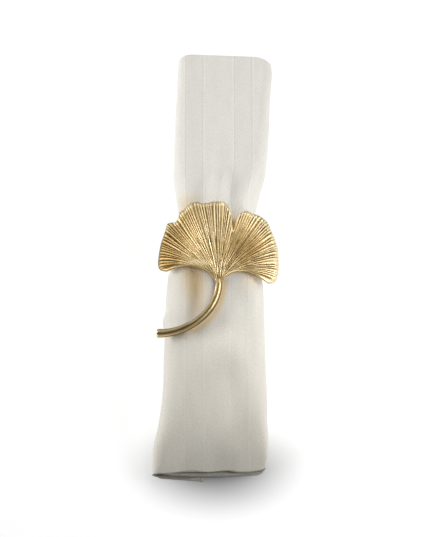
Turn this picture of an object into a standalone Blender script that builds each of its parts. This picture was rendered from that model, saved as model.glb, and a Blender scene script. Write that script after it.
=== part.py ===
"""A dinner napkin rolled flat and drawn through a ginkgo-leaf napkin ring.

The napkin lies along Y with its open, hemmed end at -Y.  It is one sheet of
doubled cloth wound into a flat roll: thin at both ends and pushed up into a
tube where the ring grips it.  The ring is a plain round band, and a cast leaf
with its stem is soldered on top of it.  Lengths in the tables are millimetres.
"""
import math

import bmesh
import bpy
from mathutils import Vector

MM = 0.001

# ---- napkin: doubled cloth, rolled flat ----------------------------------
CLOTH_THICKNESS = 1.0        # two plies lying together
LAYER_PITCH = 1.3            # from one turn of the roll to the next, where it is flat
RING_LOOSENESS = 0.9         # the turns stand this much further apart inside the ring
TURNS = 3.1                  # ends inside the roll, at the left of the underside
FREE_EDGE_AT = -0.10         # share of the flat underside where the last turn ends
FLAT_START = 0.15            # share of the first turn that lies flat on the table

# One row for each section across the roll.
SECTION_COLUMNS = ("y", "centre", "half_width", "height", "floor_gap", "roundness")
SECTIONS = (
    (-129.3, -4.5, 31.8, 11.4, 0.0, 0.0),
    (-119.0, -3.6, 32.4, 15.2, 0.0, 0.0),
    (-103.0, -2.1, 30.6, 21.6, 0.0, 0.0),
    (-93.0, -1.5, 29.9, 24.1, 0.0, 0.0),
    (-83.0, -1.1, 29.3, 26.2, 0.0, 0.0),
    (-70.0, -1.1, 28.9, 28.1, 0.0, 0.05),
    (-58.0, -1.2, 28.6, 29.8, 0.0, 0.1),
    (-46.0, -1.1, 28.3, 32.0, 0.0, 0.15),
    (-36.0, -1.0, 28.0, 35.2, 0.0, 0.2),
    (-28.0, -0.9, 27.6, 37.6, 0.1, 0.3),
    (-21.0, -0.8, 27.1, 39.0, 0.4, 0.4),
    (-13.5, -0.7, 25.3, 38.2, 1.2, 0.8),
    (-8.0, -0.1, 20.0, 36.4, 2.8, 1.0),
    (0.0, 0.0, 19.9, 36.4, 2.8, 1.0),
    (8.0, 0.0, 20.0, 36.2, 2.6, 1.0),
    (14.0, 0.2, 21.5, 34.2, 1.2, 0.8),
    (24.0, 0.3, 22.9, 30.8, 0.3, 0.5),
    (35.0, 0.7, 24.7, 26.6, 0.0, 0.3),
    (49.0, 1.7, 26.8, 21.6, 0.0, 0.1),
    (73.0, 2.8, 27.5, 16.6, 0.0, 0.0),
    (100.0, 4.0, 27.6, 13.8, 0.0, 0.0),
    (115.0, 4.8, 27.8, 12.7, 0.0, 0.0),
    (122.5, 4.9, 27.3, 12.3, 0.0, 0.0),
)

# Soft ridges (+) and troughs (-) in the top of the roll.
FOLD_COLUMNS = ("x", "y", "lean", "half_width", "half_length", "height")
FOLDS = (
    (-8.5, 34.0, 0.05, 5.5, 20.0, -1.9),
    (0.0, 30.0, 0.05, 4.5, 18.0, 2.4),
    (21.0, -28.0, 0.00, 9.0, 9.0, 5.0),
    (-3.0, -34.0, 0.10, 4.2, 13.0, 0.4),
    (-12.0, -36.0, 0.05, 4.2, 15.0, -1.9),
    (6.5, -50.0, -0.02, 6.0, 40.5, 1.3),
    (1.5, -63.5, -0.08, 5.5, 12.0, 1.5),
    (5.0, -66.0, 0.23, 10.5, 11.0, 2.6),
    (19.5, -69.0, 0.00, 13.5, 45.0, -4.2),
    (-9.0, -69.5, -0.06, 8.0, 22.0, -6.1),
    (-1.5, -70.5, -0.25, 13.0, 23.5, 8.0),
    (-10.5, -73.5, 0.08, 6.0, 14.0, 2.0),
    (4.0, -74.5, -0.19, 8.0, 29.0, -6.9),
    (-16.0, -96.0, 0.05, 5.5, 23.0, 0.7),
    (6.0, -111.5, 0.37, 9.0, 32.0, 2.6),
    (-0.5, -129.0, 0.12, 9.5, 12.0, -2.2),
)

LOOSE_WRAP_FROM = -92.0      # the last turn starts to hang away here
LOOSE_WRAP_FULL = -128.0
LOOSE_WRAP_GAP = 1.8         # between the hanging turn and the stack at the near end
RIGHT_SIDE_DROP = 1.8        # the stack is lower at its right edge there
LOOSE_EDGE_REACH = 4.2       # the hanging turn stands out past the other edges
LOOSE_EDGE_TO = 0.13         # share of a turn where it meets them
INNER_TURN_SETBACK = 0.3     # each inner turn ends this much further in
NEAR_END_DEPTH = 11.0
NEAR_END_SKEW = 1.5          # the near end is not quite square
FAR_END_DEPTH = 14.0
FAR_END_SKEW = 1.0           # and nor is the far end
CORNER_WIDTH = 9.5
FAR_CORNER_RIGHT = 3.3       # the far right corner is cut off by a long shallow slant
FAR_CORNER_LEFT = 1.5

# ---- ring band ------------------------------------------------------------
BAND_INNER_RADIUS = 20.5
BAND_THICKNESS = 1.2
BAND_WIDTH = 12.0
BAND_SEGMENTS = 48
BAND_OUTER_RADIUS = BAND_INNER_RADIUS + BAND_THICKNESS

# ---- leaf and stem: one casting ---------------------------------------------
SOLDER_GAP = 0.4
BLADE_THICKNESS = 1.9
MARGIN_BEAD = 0.5            # the lower margins are a thicker rim
BEAD_SHARE = 0.07
LEAF_TOP = 2.0 * BAND_OUTER_RADIUS + SOLDER_GAP + BLADE_THICKNESS
DOME_RADIUS = 50.0           # bend of the leaf over the roll
NEAR_BOW = 280.0             # the leaf also dips along Y, towards its stem
FAR_BOW = 400.0
VEIN_STEPS = 5
RIM_STEPS = 2

RIM_COLUMNS = ("x", "y")
LEFT_RIM = (
    (-28.5, -21.5), (-31.9, -19.6), (-33.1, -17.0), (-33.1, -13.5), (-32.4, -8.5),
    (-31.6, -4.6), (-30.3, -0.8), (-28.9, 3.6), (-28.0, 6.35), (-25.7, 6.5),
    (-23.7, 6.2), (-22.1, 8.0), (-21.1, 11.7), (-19.4, 12.7), (-17.6, 14.3),
    (-15.9, 15.9), (-13.6, 16.9), (-11.2, 16.9), (-9.4, 16.2), (-6.9, 15.7),
    (-3.7, 16.3), (-1.7, 16.6), (1.5, 16.5), (3.7, 16.4), (5.3, 14.5),
    (7.0, 12.2), (7.8, 9.0), (8.1, 4.0), (8.7, -0.4),
)
RIGHT_RIM = (
    (9.5, -0.4), (10.5, 4.5), (12.5, 9.2), (14.4, 11.0), (17.0, 11.7),
    (19.6, 10.6), (23.0, 10.4), (27.9, 7.6), (29.7, 4.1), (31.8, -0.7),
    (33.7, -6.0), (34.3, -12.0), (34.2, -19.0), (33.2, -24.3), (31.3, -27.0),
    (28.5, -28.2),
)
LEFT_ROOT = (-1.0, -30.8)
LEFT_MARGIN_PULLS = ((-2.3, -24.2), (-13.0, -18.2))
RIGHT_ROOT = (2.4, -31.2)
RIGHT_MARGIN_PULLS = ((4.0, -24.6), (12.5, -19.6))
ROOT_RISE = 6.0              # every vein first runs up from the stem this far

STEM_CURVE = ((0.9, -28.5), (1.55, -46.8), (-15.9, -59.05), (-33.0, -56.45))
STEM_BEND_RADIUS = 100.0     # the stem bends down over the roll less than the blade does
STEM_LIFT = 2.3              # and its free length stands a little higher
STEM_RADIUS = 2.3
STEM_TIP_FLARE = 0.15
STEM_PROUD = 0.3             # the stem's back stands above the blade's face
STEM_ROOT_SINK = 0.9         # but its first end is sunk into the blade
STEM_ROOT_LENGTH = 0.07
STEM_STEPS = 20
STEM_SIDES = 12


# ---- small helpers -----------------------------------------------------------
def smoothstep(low, high, value):
    share = min(1.0, max(0.0, (value - low) / (high - low)))
    return share * share * (3.0 - 2.0 * share)


def mix(start, end, share):
    return start + (end - start) * share


def cubic(points, share):
    """A point on a cubic curve with four control points."""
    rest = 1.0 - share
    weights = (rest ** 3, 3 * rest ** 2 * share, 3 * rest * share ** 2, share ** 3)
    return tuple(sum(weight * point[axis] for weight, point in zip(weights, points))
                 for axis in range(2))


def through_points(points, steps):
    """A smooth open curve through the points, with some steps for each span."""
    padded = [points[0], *points, points[-1]]
    curve = []
    for before, start, end, after in zip(padded, padded[1:], padded[2:], padded[3:]):
        pull_out = [s + (e - b) / 6.0 for b, s, e in zip(before, start, end)]
        pull_in = [e - (a - s) / 6.0 for s, e, a in zip(start, end, after)]
        curve += [cubic((start, pull_out, pull_in, end), step / steps)
                  for step in range(steps)]
    return curve + [points[-1]]


def principled(name, colour, roughness, metallic):
    material = bpy.data.materials.new(name)
    material.use_nodes = True
    shader = material.node_tree.nodes["Principled BSDF"]
    shader.inputs["Base Color"].default_value = (*colour, 1.0)
    shader.inputs["Roughness"].default_value = roughness
    shader.inputs["Metallic"].default_value = metallic
    return material


def new_object(name, vertices, faces, material):
    """A closed mesh object, given in millimetres, with its faces pointing out."""
    mesh = bpy.data.meshes.new(name)
    shape = bmesh.new()
    points = [shape.verts.new(Vector(vertex) * MM) for vertex in vertices]
    for face in faces:
        shape.faces.new([points[index] for index in face])
    bmesh.ops.recalc_face_normals(shape, faces=shape.faces)
    shape.to_mesh(mesh)
    shape.free()
    mesh.shade_smooth()
    mesh.set_sharp_from_angle(angle=math.radians(40.0))
    mesh.materials.append(material)
    part = bpy.data.objects.new(name, mesh)
    bpy.context.scene.collection.objects.link(part)
    return part


def shell_faces(rows, columns):
    """Faces of a thick sheet: two grids of rows x columns, joined along their edges.

    Both grids are split along the same diagonals, so the sheet stays as thick all over.
    """
    count = rows * columns
    faces = []
    for row in range(rows - 1):
        for column in range(columns - 1):
            a = row * columns + column
            for corner in ((a, a + 1, a + 1 + columns), (a, a + 1 + columns, a + columns)):
                faces.append(corner)
                faces.append(tuple(index + count for index in reversed(corner)))
    border = list(range(columns))
    border += [row * columns + columns - 1 for row in range(1, rows)]
    border += [(rows - 1) * columns + column for column in range(columns - 2, -1, -1)]
    border += [row * columns for row in range(rows - 2, 0, -1)]
    for a, b in zip(border, border[1:] + border[:1]):
        faces.append((b, a, a + count, b + count))
    return faces


# ---- the roll -------------------------------------------------------------------
TOP_SPREAD = 54.0            # degrees that the top and underside take up in a round section
UNDER_SPREAD = 45.0


def one_turn(roundness):
    """Places round one turn, from under the roll up the left side, over and back.

    Each is (angle that the cloth faces, share along the flat part).  Flat
    sections turn only at their sides; round ones turn all the way.
    """
    top_spread = TOP_SPREAD * roundness
    under_spread = UNDER_SPREAD * roundness
    places = [(-90.0 + under_spread * flat, flat) for flat in (0.0, -0.5, -1.0)]
    left_from = -90.0 - under_spread
    left_to = -270.0 + top_spread
    places += [(mix(left_from, left_to, step / 5.0), -1.0) for step in range(1, 5)]
    places += [(90.0 - top_spread * step / 3.0, step / 3.0) for step in range(-3, 4)]
    right_from = 90.0 - top_spread
    right_to = -90.0 + under_spread
    places += [(mix(right_from, right_to, step / 5.0), 1.0) for step in range(1, 5)]
    places += [(-90.0 + under_spread * flat, flat) for flat in (1.0, 0.5)]
    return places


PLACES_PER_TURN = len(one_turn(0.0))
RIGHT_ARC_START = 14         # the place in a turn where its right side begins
WINDING = range(int(round(TURNS * PLACES_PER_TURN)) + 1)


def depth_in_roll(turn):
    """How far inside the roll's outline the outer face of the cloth lies."""
    if turn < 1.0:
        return LAYER_PITCH * max(0.0, turn - FLAT_START) / (1.0 - FLAT_START)
    return LAYER_PITCH * turn


def fold_height(x, y):
    height = 0.0
    for row in FOLDS:
        fold = dict(zip(FOLD_COLUMNS, row))
        across = (x - fold["x"] - fold["lean"] * (y - fold["y"])) / fold["half_width"]
        along = (y - fold["y"]) / fold["half_length"]
        height += fold["height"] * math.exp(-across ** 2 - along ** 2)
    return height


def roll_point(section, place_number, skin):
    """A point on the outer (skin 0) or inner (skin 1) face of the wound cloth."""
    turn_number, place = divmod(place_number, PLACES_PER_TURN)
    angle, flat = one_turn(section["roundness"])[place]
    if place_number == 0:
        flat = FREE_EDGE_AT
        angle = -90.0 + UNDER_SPREAD * section["roundness"] * flat
    turn = place_number / PLACES_PER_TURN
    spread = 1.0 + RING_LOOSENESS * section["roundness"]
    depth = depth_in_roll(turn) * spread + skin * CLOTH_THICKNESS
    half_height = section["height"] / 2.0
    side = math.cos(math.radians(angle))
    rise = math.sin(math.radians(angle))
    outside_x = (section["half_width"] - half_height) * flat + half_height * side
    x = outside_x - depth * side
    z = section["floor_gap"] + half_height + (half_height - depth) * rise

    looseness = smoothstep(LOOSE_WRAP_FROM, LOOSE_WRAP_FULL, section["y"])
    if place >= RIGHT_ARC_START and rise < 0.0:
        z += depth_in_roll(place / PLACES_PER_TURN) * spread * rise
    if turn_number > 0 and place < RIGHT_ARC_START and rise < 0.0:
        z -= LOOSE_WRAP_GAP * looseness * smoothstep(0.35, -0.5, flat) * rise
    if rise > 0.0:
        z -= RIGHT_SIDE_DROP * looseness * smoothstep(-0.4, 0.9, flat) * rise
        z += fold_height(outside_x + section["centre"], section["y"]) * rise

    y = section["y"]
    near = smoothstep(SECTIONS[0][0] + NEAR_END_DEPTH, SECTIONS[0][0], y)
    far = smoothstep(SECTIONS[-1][0] - FAR_END_DEPTH, SECTIONS[-1][0], y)
    y -= LOOSE_EDGE_REACH * near * max(0.0, 1.0 - turn / LOOSE_EDGE_TO)
    y += INNER_TURN_SETBACK * near * turn
    y += (NEAR_END_SKEW * near - FAR_END_SKEW * far) * x / section["half_width"]
    edge = max(0.0, abs(x) - section["half_width"] + CORNER_WIDTH) / CORNER_WIDTH
    y -= far * (FAR_CORNER_RIGHT * edge ** 1.2 if x > 0.0 else FAR_CORNER_LEFT * edge ** 2)
    return (x + section["centre"], y, z)


def make_napkin(material):
    sections = [dict(zip(SECTION_COLUMNS, row)) for row in SECTIONS]
    vertices = [roll_point(section, number, skin)
                for skin in (0, 1) for section in sections for number in WINDING]
    return new_object("napkin", vertices, shell_faces(len(sections), len(WINDING)), material)


# ---- the ring band ----------------------------------------------------------------
def make_band(material):
    half = BAND_WIDTH / 2.0
    profile = ((BAND_OUTER_RADIUS, -half), (BAND_OUTER_RADIUS, half),
               (BAND_INNER_RADIUS, half), (BAND_INNER_RADIUS, -half))
    corners = len(profile)
    vertices = []
    faces = []
    for segment in range(BAND_SEGMENTS):
        angle = math.tau * segment / BAND_SEGMENTS
        for radius, y in profile:
            vertices.append((radius * math.sin(angle), y,
                             BAND_OUTER_RADIUS - radius * math.cos(angle)))
        following = (segment + 1) % BAND_SEGMENTS
        for corner in range(corners):
            turn_to = (corner + 1) % corners
            faces.append((segment * corners + corner, segment * corners + turn_to,
                          following * corners + turn_to, following * corners + corner))
    return new_object("band", vertices, faces, material)


# ---- the leaf -----------------------------------------------------------------------
def dome_height(x, y):
    """The height of the leaf's upper face, bent down over the roll."""
    bow = NEAR_BOW if y < 0.0 else FAR_BOW
    drop = DOME_RADIUS - math.sqrt(DOME_RADIUS ** 2 - x ** 2)
    return LEAF_TOP - drop - y ** 2 / bow


def vein(root, tip, margin_pulls, bend):
    """A vein from the root to the rim; bend 1 follows the margin, 0 runs straight."""
    reach = [t - r for r, t in zip(root, tip)]
    straight_first = (root[0] + 0.1 * reach[0], root[1] + 0.1 * reach[1] + ROOT_RISE)
    straight_second = (root[0] + 0.6 * reach[0], root[1] + 0.6 * reach[1])
    first = [mix(s, m, bend) for s, m in zip(straight_first, margin_pulls[0])]
    second = [mix(s, m, bend) for s, m in zip(straight_second, margin_pulls[1])]
    return (root, first, second, tip)


def leaf_veins():
    """Vein curves from the left lower margin round to the right lower margin."""
    left = through_points(LEFT_RIM, RIM_STEPS)
    right = through_points(RIGHT_RIM, RIM_STEPS)
    last = len(left) + len(right) - 1
    veins = []
    for number, tip in enumerate(left + right):
        share = number / last
        root = tuple(mix(a, b, share) for a, b in zip(LEFT_ROOT, RIGHT_ROOT))
        if number < len(left):
            bend = (1.0 - number / len(left)) ** 3
            veins.append((vein(root, tip, LEFT_MARGIN_PULLS, bend), share))
        else:
            bend = ((number - len(left) + 1) / len(right)) ** 3
            veins.append((vein(root, tip, RIGHT_MARGIN_PULLS, bend), share))
    return veins


def make_leaf(material):
    top = []
    under = []
    veins = leaf_veins()
    for curve, share in veins:
        bead = MARGIN_BEAD * smoothstep(BEAD_SHARE, 0.0, min(share, 1.0 - share))
        for step in range(VEIN_STEPS):
            x, y = cubic(curve, step / (VEIN_STEPS - 1))
            height = dome_height(x, y)
            top.append((x, y, height + bead))
            under.append((x, y, height - BLADE_THICKNESS))
    faces = shell_faces(len(veins), VEIN_STEPS)
    return new_object("leaf", top + under, faces, material)


def make_stem(material):
    """The round stem, which the leaf's union takes in."""
    spine = []
    for step in range(STEM_STEPS + 1):
        share = step / STEM_STEPS
        x, y = cubic(STEM_CURVE, share)
        radius = STEM_RADIUS + STEM_TIP_FLARE * smoothstep(0.85, 1.0, share)
        proud = mix(STEM_PROUD, -STEM_ROOT_SINK, smoothstep(STEM_ROOT_LENGTH, 0.0, share))
        height = LEAF_TOP - x ** 2 / (2.0 * STEM_BEND_RADIUS) - y ** 2 / NEAR_BOW
        height += STEM_LIFT * smoothstep(0.1, 0.8, share)
        spine.append((Vector((x, y, height + proud - radius)), radius))
    vertices = []
    for step, (centre, radius) in enumerate(spine):
        ahead = spine[min(step + 1, STEM_STEPS)][0] - spine[max(step - 1, 0)][0]
        side = ahead.cross(Vector((0.0, 0.0, 1.0))).normalized()
        up = side.cross(ahead).normalized()
        for corner in range(STEM_SIDES):
            angle = math.tau * corner / STEM_SIDES
            vertices.append(centre + radius * (math.cos(angle) * side + math.sin(angle) * up))
    faces = []
    for step in range(STEM_STEPS):
        for corner in range(STEM_SIDES):
            a = step * STEM_SIDES + corner
            b = step * STEM_SIDES + (corner + 1) % STEM_SIDES
            faces.append((a, b, b + STEM_SIDES, a + STEM_SIDES))
    faces.append(tuple(range(STEM_SIDES)))
    faces.append(tuple(range(STEM_STEPS * STEM_SIDES, (STEM_STEPS + 1) * STEM_SIDES)))
    stem = new_object("stem_guide", vertices, faces, material)
    stem.hide_render = True
    stem.display_type = "WIRE"
    return stem


# ---- the whole part ---------------------------------------------------------------------
def main():
    for old in list(bpy.data.objects):
        bpy.data.objects.remove(old, do_unlink=True)

    cloth = principled("napkin_cloth", (0.80, 0.79, 0.75), 0.75, 0.0)
    brass = principled("polished_brass", (0.72, 0.56, 0.30), 0.32, 1.0)

    napkin = make_napkin(cloth)
    band = make_band(brass)
    leaf = make_leaf(brass)
    stem = make_stem(brass)
    union = leaf.modifiers.new("stem", "BOOLEAN")
    union.operation = "UNION"
    union.object = stem

    # The model's origin is under the middle of its box, on the table.
    corners = [vertex.co for part in (napkin, leaf, stem) for vertex in part.data.vertices]
    middle = [(min(c[axis] for c in corners) + max(c[axis] for c in corners)) / 2.0
              for axis in range(2)]
    origin = bpy.data.objects.new("origin", None)
    bpy.context.scene.collection.objects.link(origin)
    for part in (napkin, band, leaf, stem):
        part.parent = origin
    origin.location = (-middle[0], -middle[1], 0.0)


main()
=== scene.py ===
"""The looks of a rolled napkin in a ginkgo-leaf ring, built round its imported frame.

The roll lies along Y with its open, hemmed end at -Y.  Sizes in the tables are
millimetres, measured from the point on the table under the middle of the band.
"""
import math

import bpy
import numpy as np
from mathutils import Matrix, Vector


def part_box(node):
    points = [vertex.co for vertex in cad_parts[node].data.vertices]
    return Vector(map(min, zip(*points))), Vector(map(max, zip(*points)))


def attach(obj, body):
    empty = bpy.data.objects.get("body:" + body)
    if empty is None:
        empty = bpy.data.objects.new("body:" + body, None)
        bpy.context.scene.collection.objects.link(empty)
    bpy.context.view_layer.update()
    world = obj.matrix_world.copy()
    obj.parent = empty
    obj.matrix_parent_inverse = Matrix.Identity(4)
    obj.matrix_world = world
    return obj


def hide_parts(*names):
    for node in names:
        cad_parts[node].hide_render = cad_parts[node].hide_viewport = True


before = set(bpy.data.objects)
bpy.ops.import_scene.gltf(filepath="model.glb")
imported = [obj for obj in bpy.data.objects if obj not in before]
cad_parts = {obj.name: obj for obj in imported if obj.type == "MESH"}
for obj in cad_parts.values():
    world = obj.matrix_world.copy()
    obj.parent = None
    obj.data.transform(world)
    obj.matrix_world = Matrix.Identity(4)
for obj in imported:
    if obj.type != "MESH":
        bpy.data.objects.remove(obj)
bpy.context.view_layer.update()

MM = 0.001
BAND_LOW, BAND_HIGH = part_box("band")
ORIGIN = np.array([(BAND_LOW.x + BAND_HIGH.x) / 2, (BAND_LOW.y + BAND_HIGH.y) / 2, 0.0])
BAND_RADIUS = (BAND_HIGH.z - BAND_LOW.z) / 2 / MM
BAND_HALF_WIDTH = (BAND_HIGH.y - BAND_LOW.y) / 2 / MM

# ---- the roll -------------------------------------------------------------------
PLY = 0.40
PLY_PAIR = 0.88              # both plies and the air between them
LAYER_PITCH = 0.93           # from one turn to the next
RING_LOOSENESS = 0.9         # inside the ring the turns stand this much further apart
TURNS = 4.2
FREE_EDGE_AT = 0.012         # share of a turn from the middle of the underside to the loose edge
FLAT_START = 0.15            # the first turn gains no depth up to this share of it
# A turn starts in the middle of the underside and goes left, over the top and down on
# the right.  These are the shares of it where each side's bend begins and ends.
LEFT_BEND = (0.10, 0.35)
RIGHT_BEND = (0.65, 0.90)
TOP_OF_TURN = (0.36, 0.64)
# Degrees by which the flats curve down to each side where the roll is round.
TOP_SPREAD = 54.0
UNDER_SPREAD = 45.0
# Steps round the roll: fine on the turn that shows, coarser inside.
FINE_TURN_TO = 1.1
FINE_TURN_STEPS = 130
INNER_TURN_STEPS = 90
FAR_FOLD_ANGLE = 75.0        # the doubled cloth's bend at the far end, to each side
FAR_FOLD_STEPS = 6
# Steps along the roll: the widest, and how they widen away from an end and from the ring.
STATION_STEP = 3.4
STATION_STEP_LAST = 0.6
END_STEP, END_STEP_GROWTH = 0.5, 0.3
RING_STEP, RING_STEP_GROWTH = 1.3, 0.02

SECTION_COLUMNS = ("y", "centre", "half_width", "height", "floor_gap", "roundness")
SECTIONS = (
    (-129.3, -4.5, 31.8, 8.6, 0.0, 0.0),
    (-119.0, -3.6, 32.4, 15.2, 0.0, 0.0),
    (-103.0, -2.1, 30.6, 21.6, 0.0, 0.0),
    (-83.0, -1.1, 29.3, 26.2, 0.0, 0.0),
    (-58.0, -1.2, 28.6, 29.8, 0.0, 0.1),
    (-36.0, -1.0, 28.0, 35.2, 0.0, 0.2),
    (-21.0, -0.8, 27.1, 39.0, 0.4, 0.4),
    (-13.5, -0.7, 25.3, 38.2, 1.2, 0.8),
    (-8.0, -0.1, 20.1, 36.4, 2.8, 1.0),
    (0.0, 0.0, 20.0, 36.4, 2.8, 1.0),
    (8.0, 0.0, 20.1, 36.2, 2.6, 1.0),
    (14.0, 0.2, 21.5, 34.2, 1.2, 0.8),
    (24.0, 0.3, 22.9, 30.8, 0.3, 0.5),
    (35.0, 0.7, 24.7, 26.6, 0.0, 0.3),
    (49.0, 1.7, 26.8, 21.6, 0.0, 0.1),
    (73.0, 2.8, 27.5, 16.6, 0.0, 0.0),
    (100.0, 4.0, 27.6, 13.8, 0.0, 0.0),
    (115.0, 4.8, 27.8, 12.7, 0.0, 0.0),
    (122.5, 4.9, 27.3, 12.3, 0.0, 0.0),
)
NEAR_END = SECTIONS[0][0]
FAR_END = SECTIONS[-1][0]

# Ridges (+) and troughs (-) in the top of the roll.
FOLD_COLUMNS = ("x", "y", "lean", "half_width", "half_length", "height")
FOLDS = (
    (-8.5, 34.0, 0.05, 5.5, 20.0, -1.9),
    (8.0, 32.0, 0.10, 4.0, 16.0, -1.3),
    (0.0, 30.0, 0.05, 4.5, 18.0, 2.4),
    (14.0, 26.0, 0.15, 4.0, 12.0, 1.0),
    (-14.0, -22.0, 0.25, 4.0, 12.0, -0.5),
    (8.0, -22.0, -0.10, 4.0, 12.0, 0.5),
    (21.0, -28.0, 0.00, 9.0, 9.0, 5.0),
    (-3.0, -34.0, 0.10, 4.2, 13.0, 1.7),
    (-12.0, -36.0, 0.05, 4.2, 15.0, -1.9),
    (6.5, -50.0, -0.02, 6.0, 40.5, 1.3),
    (1.5, -63.5, -0.08, 5.5, 12.0, 1.5),
    (5.0, -66.0, 0.23, 10.5, 11.0, 2.6),
    (19.5, -69.0, 0.00, 13.5, 45.0, -4.2),
    (-9.0, -69.5, -0.06, 8.0, 22.0, -6.1),
    (-1.5, -70.5, -0.25, 13.0, 23.5, 8.0),
    (-10.5, -73.5, 0.08, 6.0, 14.0, 2.0),
    (4.0, -74.5, -0.19, 8.0, 29.0, -6.9),
    (-16.0, -96.0, 0.05, 5.5, 23.0, 0.7),
    (6.0, -111.5, 0.37, 9.0, 32.0, 2.6),
    (-0.5, -129.0, 0.12, 9.5, 12.0, -2.9),
)
BULGE = 1.5                  # the cloth bulges out beside the stem's tip
BULGE_AT = -45.5
BULGE_HALF_LENGTH = 4.0

# ---- the roll's two ends ------------------------------------------------------------
# The loose turn stands away from the stack, and the right side sinks.  Both grow from
# one place along the roll to another, and across it from the first share of its half
# width to the second, where left is -1 and right is +1.
LOOSE_ALONG = (-92.0, -128.0)
LOOSE_WRAP_GAP = 2.3
LOOSE_WRAP_ACROSS = (0.35, -0.5)
RIGHT_SIDE_DROP = 2.5
RIGHT_SIDE_ACROSS = (-0.4, 0.9)
LOOSE_EDGE_REACH = 4.3
LOOSE_EDGE_TO = 0.13         # share of a turn where the loose edge meets the other edges
INNER_TURN_SETBACK = 0.12
INNER_TURN_WANDER = 0.35
PRESSED = 0.60               # the layers are pressed to this share of their thickness at the hems
PRESS_FROM = -98.0
NEAR_END_DEPTH = 11.0        # the edges at each end are shaped over this length
FAR_END_DEPTH = 14.0
NEAR_END_SKEW = 1.5
FAR_END_SKEW = 1.0
CORNER_WIDTH = 9.5           # each corner is drawn back by its own depth over this width
FAR_CORNER_RIGHT = 3.3
FAR_CORNER_LEFT = 1.5
NEAR_CORNER_RIGHT = 1.5
# How far the lower turns stand out past the top one: (x, reach).
STACK_REACH = (
    (-34.0, -1.6), (-25.0, 0.6), (-12.0, 1.4), (5.0, 1.6), (20.0, 1.7), (27.0, 1.1),
)
# How the near edge of the top turn wanders: (x, setback).
END_WAVE = (
    (-35.0, -0.7), (-24.0, -0.55), (-16.0, 0.4), (-6.0, -0.6), (0.0, -0.15),
    (9.0, 0.4), (12.0, -0.8), (15.5, -0.8), (20.0, -0.75), (25.0, -0.15),
)

# ---- the cloth's look ---------------------------------------------------------------
TWILL_WIDTH = 10.8
STRIPE_PERIOD = 28.3
STRIPE_LINE_X = -8.0         # one edge of a stripe runs straight along the roll here
STRIPE_NARROWED = 0.90       # the stripes draw together to this share
STRIPE_NARROWS_ALONG = (45.0, -20.0)
# The cotton is painted darker and warmer towards the near end: painted shade.
FAR_COTTON = (0.845, 0.82, 0.76, 1.0)
NEAR_COTTON_IN_PAINTED_SHADE = (0.735, 0.70, 0.618, 1.0)
# The cotton's colour in painted gold-tinted shade.
COTTON_IN_PAINTED_GOLD_SHADE = (0.72, 0.56, 0.33, 1.0)

# Painted gold-tinted shade on the cloth: (x, y, half_width, half_length, strength).
PAINTED_GOLD_SHADE_PATCHES = (
    (-13.5, -24.0, 6.5, 11.0, 1.0),
    (-11.5, -38.0, 5.0, 12.0, 0.55),
    (-18.0, 22.0, 8.0, 7.0, 0.6),
    (8.5, 6.0, 4.0, 9.0, 0.9),
    (18.0, -26.0, 4.5, 5.0, 0.6),
)
GOLD_FROM_HEIGHT = (15.0, 25.0)
# Painted beside the stem too, weaker at its tip: it fades between two of the points along it.
STEM_CAST = 1.1
STEM_CAST_AT_TIP = 0.4
STEM_CAST_POINTS = 60
STEM_CAST_FADE = (35.0, 50.0)
STEM_CAST_OFFSET = (2.6, -0.4)
STEM_CAST_WIDTH = 1.8

# ---- the leaf -----------------------------------------------------------------------
SOLDER_GAP = 0.4
BLADE_THICKNESS = 1.8
CAD_BLADE = 1.9
LEAF_TOP = 2.0 * BAND_RADIUS + SOLDER_GAP + CAD_BLADE
DOME_RADIUS = 50.0
NEAR_BOW = 280.0
FAR_BOW = 400.0
LEFT_RIM = (
    (-28.5, -21.5), (-31.9, -19.6), (-33.1, -17.0), (-33.1, -13.5), (-32.4, -8.5),
    (-31.6, -4.6), (-30.3, -0.8), (-28.9, 3.6), (-28.0, 6.35), (-25.7, 6.5),
    (-23.7, 6.2), (-22.1, 8.0), (-21.1, 11.7), (-19.4, 12.7), (-17.6, 14.3),
    (-15.9, 15.9), (-13.6, 16.9), (-11.2, 16.9), (-9.4, 16.2), (-6.9, 15.7),
    (-3.7, 16.3), (-1.7, 16.6), (1.5, 16.5), (3.7, 16.4), (5.3, 14.5),
    (7.0, 12.2), (7.8, 9.0), (8.1, 4.0), (8.7, -0.4),
)
RIGHT_RIM = (
    (9.5, -0.4), (10.5, 4.5), (12.5, 9.2), (14.4, 11.0), (17.0, 11.7),
    (19.6, 10.6), (23.0, 10.4), (27.9, 7.6), (29.7, 4.1), (31.8, -0.7),
    (33.7, -6.0), (34.3, -12.0), (34.2, -19.0), (33.2, -24.3), (31.3, -27.0),
    (28.5, -28.2),
)
LEFT_ROOT = (-1.0, -30.8)
LEFT_MARGIN_PULLS = ((-2.3, -24.2), (-13.0, -18.2))
RIGHT_ROOT = (2.4, -31.2)
RIGHT_MARGIN_PULLS = ((4.0, -24.6), (12.5, -19.6))
ROOT_RISE = 6.0
RIM_STEPS = 24
LEAF_COLUMNS = 961
LEAF_ROWS = 89
UNDERSIDE_STEP = 8           # the plain underside has one point for this many above
RIM_PER_COLUMN = 8.0         # the columns follow the veins, and the rim's length this much less
VEIN_SPACING = 1.60
VEIN_RISE = 0.27             # height of a ridge, as a share of the distance between ridges
VEIN_FORKS = (0.0, 0.13, 0.30, 0.58, 2.0)     # shares of the way to the rim
FORK_BLEND = 0.05
BEAD_HEIGHT = 0.55
BEAD_WIDTH = 0.9
PLAIN_WIDTH = 1.4            # no veins for this many bead widths from a margin
ROOT_VALLEY = 1.0            # the blade dips between its margins where they meet the stem
ROOT_VALLEY_REACH = (0.20, 0.02)
ROOT_VALLEY_WIDTH = 0.26
ROOT_SINK = 1.1              # and sinks into the stem at its very end
ROOT_SINK_REACH = (0.07, 0.0)
RIM_ROUNDING = (0.975, 1.0)
PAINTED_RIM_HIGHLIGHT = (0.94, 0.99)      # a painted highlight on the rim from here
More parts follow.
